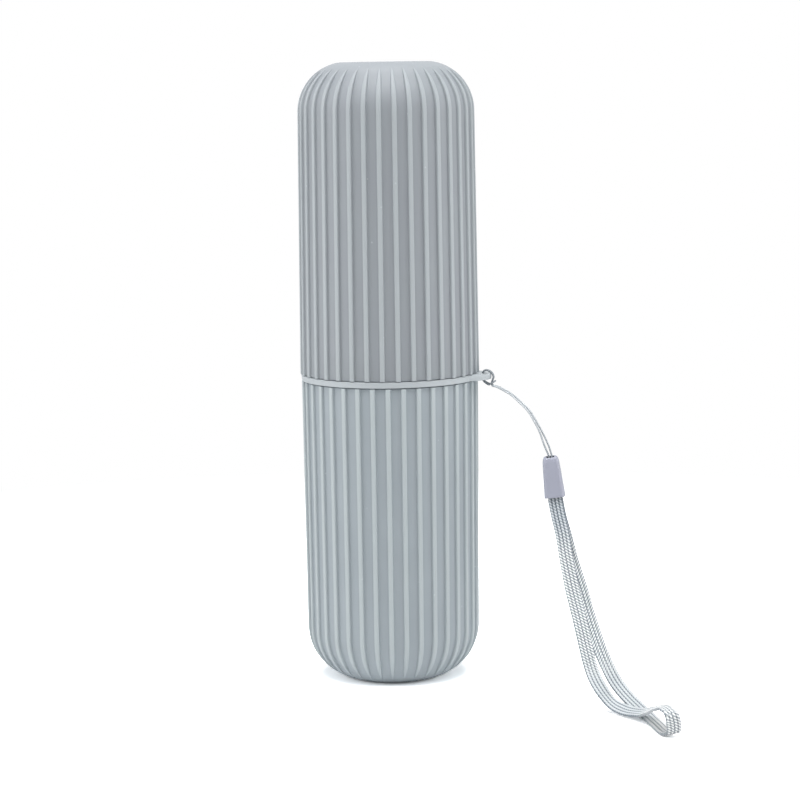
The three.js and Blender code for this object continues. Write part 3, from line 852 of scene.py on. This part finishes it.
def moulded_plastic(name, colour, cloud_colour, speck_colour, roughness, grain_pitch, painted_shading_tones=None):
    """A matt moulded plastic, its grain sized in mm, with a colour for each end of its points' painted
    shading: highlight and shade.
    """
    material, tree, shader = new_material(name)
    place = add_node(tree, "TexCoord", {}, output="Object")
    clouds = add_node(tree, "TexNoise", {"Vector": place, "Scale": 1 / (cloud_pitch * mm), "Detail": 3})
    cloud_share = add_node(tree, "MapRange", {0: clouds, "From Min": cloud_low, "From Max": cloud_high})
    layers = [(cloud_share, cloud_colour)]
    if painted_shading_tones:
        painted_shading = add_node(tree, "Attribute", {}, {"attribute_name": "painted_shading"}, output="Fac")
        crease_shade_share = add_node(tree, "MapRange", {0: painted_shading, "From Min": 0, "From Max": -1})
        layers += zip((painted_shading, crease_shade_share), painted_shading_tones)
    scattered = {"Vector": place, "Scale": 1 / (speck_pitch * mm), "Randomness": 1}
    cells = add_node(tree, "TexVoronoi", scattered, output="Distance")
    speck = {0: cells, "From Min": speck_edge, "From Max": speck_core, "To Max": speck_strength}
    layers.append((add_node(tree, "MapRange", speck), speck_colour))
    base = linear(colour)
    for share, layer_colour in layers:
        laid_over = {"Factor": share, 6: base, 7: linear(layer_colour)}
        base = add_node(tree, "Mix", laid_over, rgba, output=2)
    grain = add_node(tree, "TexNoise", {"Vector": place, "Scale": 1 / (grain_pitch * mm), "Detail": 2})
    rough = {0: grain, "To Min": roughness - roughness_swing, "To Max": roughness + roughness_swing}
    bump = {"Strength": 0.25, "Distance": grain_depth * mm, "Height": grain}
    finish = {
        "Base Color": base,
        "Roughness": add_node(tree, "MapRange", rough),
        "IOR": polypropylene_ior,
        "Normal": add_node(tree, "Bump", bump),
    }
    set_inputs(tree, shader, finish)
    return material


print("clouds", cloud_pitch, "mm and specks", speck_pitch, "mm apart")

# %% Plastics of the cups, the collar and the cap
# Each row is a plastic's name, its three colours, roughness, grain in mm, and the colours of its painted
# highlight and painted shade.
plastics = (
    # Both cups are one plastic; the lower's copy is painted paler and the upper's darker, as painted light
    # and shade.
    ("matt_grey_polypropylene_lower", "#9fa8ae", "#9ca5ab", "#cfd6d9", 0.55, 0.5, ("#b3bcbf", "#90989c")),
    ("matt_grey_polypropylene_upper", "#969ca1", "#94999f", "#cfd6d9", 0.55, 0.5, ("#adb4b8", "#8c9094")),
    ("matt_grey_collar_polypropylene", "#b7bec2", "#b3babe", "#cfd6d9", 0.5, 0.5),
    ("satin_lavender_polypropylene", "#a2a5b4", "#9fa2b1", "#bcbeca", 0.42, 0.3, ("#a2a5b4", "#26242a")),
)
for piece, plastic in zip((lower, upper, collar, cap), plastics):
    piece.data.materials.clear()
    piece.data.materials.append(moulded_plastic(*plastic))

# %% [markdown]
# ### Knitted ribbon
# The strap is knitted from a silvery polyester yarn, which has a slight sheen. Each of its four
# ridges is a column of slanting stitches, and the gaps between the stitches show as dark dots in
# the valleys. The dark valley lines, gaps and dots are painted shade in hollows finer than the mesh. Where
# the strap curves gently, the stitches lie closed: the ridges look smooth, with full lines between them, and
# painted shade greys them. They open to beads at the bow, where the loop turns back, and towards the cap.
# Polyester's index of refraction is about 1.58. The pattern follows the strap's own map, in millimetres
# across and along. The real stitches are about 0.85 mm apart.
# They are drawn 1.05 mm apart, and the gaps between them wider than the real ones, because the
# real gaps are thinner than a pixel of the picture.


# %% Places on a yarn's map
def yarn_places(tree, length):
    """Millimetres across, along, and from the middle of a length, as the piece's own map has them."""
    chart = add_node(tree, "UVMap", {}, {"uv_map": "yarn"})
    across, along = [add_node(tree, "SeparateXYZ", {0: chart}, output=axis) for axis in ("X", "Y")]
    past_middle = add_node(tree, "Math", {0: along, 1: length / 2}, subtract)
    return across, along, add_node(tree, "Math", {0: past_middle}, absolute)


print("the bow's middle is", round(strap_along[-1] / 2, 1), "mm along the strap")

# %% Ribbon ridges and valleys
strap_yarn, tree, shader = new_material("silver_knitted_polyester")
ridge_pitch = strap_width / ridge_count
# Shares of a ridge, from its middle, then millimetres from the ribbon's middle.
valley_start_share, valley_full_share = 0.22, 0.42
edge_line_start, edge_line_full = 1.95, 2.25
across_mm, along_mm, from_bow = yarn_places(tree, float(strap_along[-1]))
column = add_node(tree, "Math", {0: across_mm, 1: ridge_pitch}, {"operation": "DIVIDE"})
in_column = add_node(tree, "Math", {0: column, 1: 1}, {"operation": "FLOORED_MODULO"})
from_middle = add_node(tree, "Math", {0: in_column, 1: 0.5}, subtract)
aside_share = add_node(tree, "Math", {0: from_middle}, absolute)
valley_range = {0: aside_share, "From Min": valley_start_share, "From Max": valley_full_share}
valley = add_node(tree, "MapRange", valley_range, smooth)
# Both edges of the ribbon get a dark line of painted shade.
edge_near = add_node(tree, "Math", {0: across_mm}, absolute)
edge_range = {0: edge_near, "From Min": edge_line_start, "From Max": edge_line_full}
edge_shade_line = add_node(tree, "MapRange", edge_range, smooth)
print("ridges", round(ridge_pitch, 3), "mm apart")

# %% Stitches and dots
stitch_pitch, stitch_slant = 1.05, -1
# Heights of the sine waves where a gap or a dot starts and where it is full.
gap_start, gap_full = 0.35, -0.75
dot_start, dot_full = -0.2, 0.6

# The stitches lean across the whole ribbon, and the dots of neighbouring valleys are out of step.
half_shift = add_node(tree, "Math", {0: column, 1: 0.5}, {"operation": "ADD"})
valley_number = add_node(tree, "Math", {0: half_shift}, {"operation": "FLOOR"})
waves = []
for place, lean in ((column, stitch_slant), (valley_number, stitch_pitch / 2)):
    leaning = add_node(tree, "Math", {0: place, 1: lean, 2: along_mm}, {"operation": "MULTIPLY_ADD"})
    turned = add_node(tree, "Math", {0: leaning, 1: 2 * math.pi / stitch_pitch}, multiply)
    waves.append(add_node(tree, "Math", {0: turned}, {"operation": "SINE"}))
stitch_wave, dot_wave = waves
gap = add_node(tree, "MapRange", {0: stitch_wave, "From Min": gap_start, "From Max": gap_full}, smooth)
dot = add_node(tree, "MapRange", {0: dot_wave, "From Min": dot_start, "From Max": dot_full}, smooth)
dot_row = add_node(tree, "Math", {0: dot, 1: valley}, multiply)
print("stitches", stitch_pitch, "mm apart")

# %% Where the stitches open and close
# Millimetres from the bow's middle, along the strap.
bow_reach, closed_reach, smooth_reach, fade = 5, 20, 52, 10
bow_openness, smooth_openness = 0.85, 0.3
closed_strength = 0.85
# Each row is the distance at which a change starts, then what it goes from and what it goes to.
opening_rows = ((bow_reach, bow_openness, smooth_openness), (smooth_reach, smooth_openness, 1))
closing_rows = ((smooth_reach, closed_strength, 0), (closed_reach, 0, 1))
parts = []
for change_rows, settings in ((opening_rows, smooth), (closing_rows, {})):
    for reach, before, after in change_rows:
        fading = {0: from_bow, "From Min": reach, "From Max": reach + fade, "To Min": before, "To Max": after}
        parts.append(add_node(tree, "MapRange", fading, settings))
openness = add_node(tree, "Math", {0: parts[0], 1: parts[1]}, maximum)
# Closed stitches get painted shade: greyer ridges and full lines.
closed = add_node(tree, "Math", {0: parts[2], 1: parts[3]}, multiply)
gap_shade_share = add_node(tree, "Math", {0: gap, 1: openness}, multiply)
print("the stitches lie closed from", closed_reach + fade, "to", smooth_reach, "mm off the bow's middle")

# %% Ribbon colours
# Painted shade greys the yarn towards the cap, between these millimetres off the bow's middle.
near_cap, at_cap = 96, 106
# How strong the lines, the two edges' lines and the dots, all painted shade, are before that.
loose_shares = (0.5, 0.4, 0.75)
near_cap_shade_share = add_node(tree, "MapRange", {0: from_bow, "From Min": near_cap, "From Max": at_cap})
line_shade, edge_shade, dot_shade = [
    add_node(tree, "MapRange", {0: near_cap_shade_share, "To Min": share, "To Max": 1}) for share in loose_shares
]
edge = add_node(tree, "Math", {0: edge_shade_line, 1: edge_shade}, multiply)
line = add_node(tree, "Math", {0: valley, 1: edge}, maximum)
line_strength = add_node(tree, "Math", {0: line_shade, 1: closed}, maximum)
line_shade_share = add_node(tree, "Math", {0: line, 1: line_strength}, multiply)
dot_shade_share = add_node(tree, "Math", {0: dot_row, 1: dot_shade}, multiply)
# Each colour is laid over those before it, by its share.
# Every colour laid over the base is painted shade: towards the cap, on the closed stretch, in the gaps, the
# lines and the dots.
ribbon_layers = (
    (near_cap_shade_share, "#d2d7dc"),
    (closed, "#c8ced2"),
    (gap_shade_share, "#949fa8"),
    (line_shade_share, "#7d8892"),
    (dot_shade_share, "#56616b"),
)
ribbon_colour = linear("#fafbfb")
for share, colour in ribbon_layers:
    laid_over = {"Factor": share, 6: ribbon_colour, 7: linear(colour)}
    ribbon_colour = add_node(tree, "Mix", laid_over, rgba, output=2)
print("the ribbon greys from", near_cap, "mm off the bow's middle")

# %% Ribbon finish
polyester_ior = 1.58
stitch_depth = 0.15
hollows = add_node(tree, "Math", {0: gap_shade_share, 1: dot_row}, maximum)
relief = add_node(tree, "Math", {0: hollows, 1: -1}, multiply)
finish = {
    "Base Color": ribbon_colour,
    "Roughness": add_node(tree, "MapRange", {0: hollows, "To Min": 0.5, "To Max": 0.75}),
    "IOR": polyester_ior,
    "Sheen Weight": 0.15,
    "Normal": add_node(tree, "Bump", {"Strength": 0.7, "Distance": stitch_depth * mm, "Height": relief}),
}
set_inputs(tree, shader, finish)
strap.data.materials.append(strap_yarn)
print(strap.name, "is", strap_yarn.name)

# %% [markdown]
# ### Braided cord
# The thin cord is braided from the same yarn. Its strands cross it at a slant, once every
# 0.7 mm or so, and their shadows are all that shows of them at this size. Painted shade greys it
# round the ear's hitch, and towards the slot of the cap.

# %% Braid
cord_yarn, tree, shader = new_material("silver_braided_polyester")
strand_pitch = 0.7
strand_start, strand_full = -0.4, 0.8
round_mm, along_mm, from_hitch = yarn_places(tree, float(travelled(cord_line)[-1]))
strands = []
for lean in (2, -2):
    # One whole wave goes once round the cord, so it meets itself where the map's two edges join.
    turned = add_node(tree, "Math", {0: round_mm, 1: lean / cord_diameter}, multiply)
    wave = {0: along_mm, 1: 2 * math.pi / strand_pitch, 2: turned}
    path = add_node(tree, "Math", wave, {"operation": "MULTIPLY_ADD"})
    strands.append(add_node(tree, "Math", {0: path}, {"operation": "SINE"}))
braid = add_node(tree, "Math", {0: strands[0], 1: strands[1]}, maximum)
braid_share = add_node(tree, "MapRange", {0: braid, "From Min": strand_start, "From Max": strand_full})
print("strands", strand_pitch, "mm apart")

# %% Shaded stretches and the cord's finish
# Millimetres from the hitch's middle, along the cord, where the painted shade starts and where it is full.
hitch_shade_start, hitch_shade_full = 18, 15
cap_slot_shade_start, cap_slot_shade_full = 34, 57
cord_shade_strength = 0.8
braid_depth = 0.05
hitch_shade, cap_slot_shade = [
    add_node(tree, "MapRange", {0: from_hitch, "From Min": start, "From Max": full})
    for start, full in ((hitch_shade_start, hitch_shade_full), (cap_slot_shade_start, cap_slot_shade_full))
]
cord_shade = add_node(tree, "Math", {0: hitch_shade, 1: cap_slot_shade}, maximum)
cord_shade_share = add_node(tree, "Math", {0: cord_shade, 1: cord_shade_strength}, multiply)
# The last colour is the painted shade round the hitch and towards the slot.
cord_colour = linear("#a3abb1")
for share, colour in ((braid_share, "#d3d8dc"), (cord_shade_share, "#6c747c")):
    laid_over = {"Factor": share, 6: cord_colour, 7: linear(colour)}
    cord_colour = add_node(tree, "Mix", laid_over, rgba, output=2)
finish = {
    "Base Color": cord_colour,
    "Roughness": add_node(tree, "MapRange", {0: braid_share, "To Min": 0.7, "To Max": 0.45}),
    "IOR": polyester_ior,
    "Sheen Weight": 0.2,
    "Normal": add_node(tree, "Bump", {"Strength": 0.5, "Distance": braid_depth * mm, "Height": braid}),
}
set_inputs(tree, shader, finish)
cord.data.materials.append(cord_yarn)
print(cord.name, "is", cord_yarn.name)

# %% [markdown]
# ### Tinned strip
# The crimp is pressed from thin tinned steel. Rolling leaves fine lines along the strip, which
# here run round the tube, and leave it a little rougher in places. The index of refraction stays
# at the default, as for every metal.

# %% Crimp metal
crimp_metal, tree, shader = new_material("rolled_tinned_steel")
line_pitch, line_depth = 0.12, 0.02
stretch_share = 0.05
place = add_node(tree, "TexCoord", {}, output="Object")
stretched = add_node(tree, "Mapping", {"Vector": place, "Scale": (stretch_share, stretch_share, 1)})
lines = add_node(tree, "TexNoise", {"Vector": stretched, "Scale": 1 / (line_pitch * mm), "Detail": 3})
tin_colours = {"Factor": lines, 6: linear("#b9bcc0"), 7: linear("#d2d4d7")}
finish = {
    "Base Color": add_node(tree, "Mix", tin_colours, rgba, output=2),
    "Metallic": 1,
    "Roughness": add_node(tree, "MapRange", {0: lines, "To Min": 0.25, "To Max": 0.45}),
    "Normal": add_node(tree, "Bump", {"Strength": 0.2, "Distance": line_depth * mm, "Height": lines}),
}
set_inputs(tree, shader, finish)
crimp.data.materials.clear()
crimp.data.materials.append(crimp_metal)

# %% [markdown]
# ## Studio
# The case stands on white paper in white surroundings. Both are white to the camera, and the
# surroundings in reflections too, but they light the case only softly. Close round the foot the
# paper throws up a little more light, which lifts the dark underside. Lamps stand at the left
# and the right, and two more hang above and above in front, so that the round wall is brighter at
# both sides than in the middle. The paper keeps the small shadows of the foot and the strap.

# %% Floor
floor_size = 8000
half_floor = floor_size * mm / 2
floor_corners = [(x * half_floor, y * half_floor, 0) for x, y in ((-1, -1), (1, -1), (1, 1), (-1, 1))]
floor_mesh = bpy.data.meshes.new("studio_floor")
floor_mesh.from_pydata(floor_corners, [], [(0, 1, 2, 3)])
floor = new_object("studio_floor", floor_mesh)
print("the floor is", floor_size, "mm wide")

# %% Floor paper
# Millimetres from the middle of the foot: where the paper turns to plain white for the camera,
# and how far it throws more light up to the case, with the share of that light.
near_reach, far_reach = 200, 450
foot_reach, foot_share = 70, 0.18
paper, tree, shader = new_material("white_studio_paper")
tree.nodes.remove(shader)
paper_output = tree.nodes["Material Output"]
seen = add_node(tree, "LightPath", {}, output="Is Camera Ray")
plain = add_node(tree, "BsdfDiffuse", {"Color": linear("#f4f4f4")})
bright = add_node(tree, "BsdfDiffuse", {"Color": linear("#d8d8d8")})
doubled = add_node(tree, "AddShader", {0: bright, 1: bright})
raised = add_node(tree, "AddShader", {0: doubled, 1: plain})
white = add_node(tree, "Emission", {"Color": (1, 1, 1, 1), "Strength": 1})
place = add_node(tree, "TexCoord", {}, output="Object")
distance = add_node(tree, "VectorMath", {0: place}, {"operation": "LENGTH"}, output="Value")
whitens = {0: distance, "From Min": near_reach * mm, "From Max": far_reach * mm}
near_foot = {
    0: distance,
    "From Min": foot_reach * mm,
    "From Max": foot_reach * mm / 3,
    "To Max": foot_share,
}
sweep = add_node(tree, "MixShader", {0: add_node(tree, "MapRange", whitens), 1: raised, 2: white})
bounce = add_node(tree, "MixShader", {0: add_node(tree, "MapRange", near_foot), 1: plain, 2: raised})
set_inputs(tree, paper_output, {"Surface": add_node(tree, "MixShader", {0: seen, 1: bounce, 2: sweep})})
floor_mesh.materials.append(paper)
print("the paper is plain white from", far_reach, "mm")

# %% Surroundings
ambient_strength = 0.21
world = bpy.data.worlds.new("studio")
bpy.context.scene.world = world
world.use_nodes = True
tree = world.node_tree
camera_ray = add_node(tree, "LightPath", {}, output="Is Camera Ray")
glossy_ray = add_node(tree, "LightPath", {}, output="Is Glossy Ray")
clear_ray = add_node(tree, "LightPath", {}, output="Is Transmission Ray")
direct = add_node(tree, "Math", {0: camera_ray, 1: glossy_ray}, maximum)
direct = add_node(tree, "Math", {0: direct, 1: clear_ray}, maximum)
strength = add_node(tree, "MapRange", {0: direct, "To Min": ambient_strength, "To Max": 1})
set_inputs(tree, tree.nodes["Background"], {"Color": (1, 1, 1, 1), "Strength": strength})
print("the surroundings light the case at", ambient_strength)

# %% Lamps
case_middle = Vector((0, 0, case_height / 2)) * mm


def place_lamp(name, right, ahead, up, size, power):
    """A square lamp, placed in metres from the case's middle as the camera sees it, and aimed at it."""
    lamp = new_object(name, bpy.data.lights.new(name, "AREA"))
    lamp.data.size = size
    lamp.data.energy = power
    offset = level_right * right + level_ahead * ahead + upward * up
    lamp.location = case_middle + offset
    lamp.rotation_euler = (-offset).to_track_quat("-Z", "Y").to_euler()
    print(name, power, "W")


place_lamp("left_softbox", -1, -0.18, 0.15, 0.8, 5.5)
place_lamp("right_softbox", 1, -0.21, 0.15, 0.8, 5)
place_lamp("top_softbox", 0, -0.1, 1.2, 0.9, 13.8)
place_lamp("front_softbox", 0, -0.7, 1.1, 0.7, 5.1)
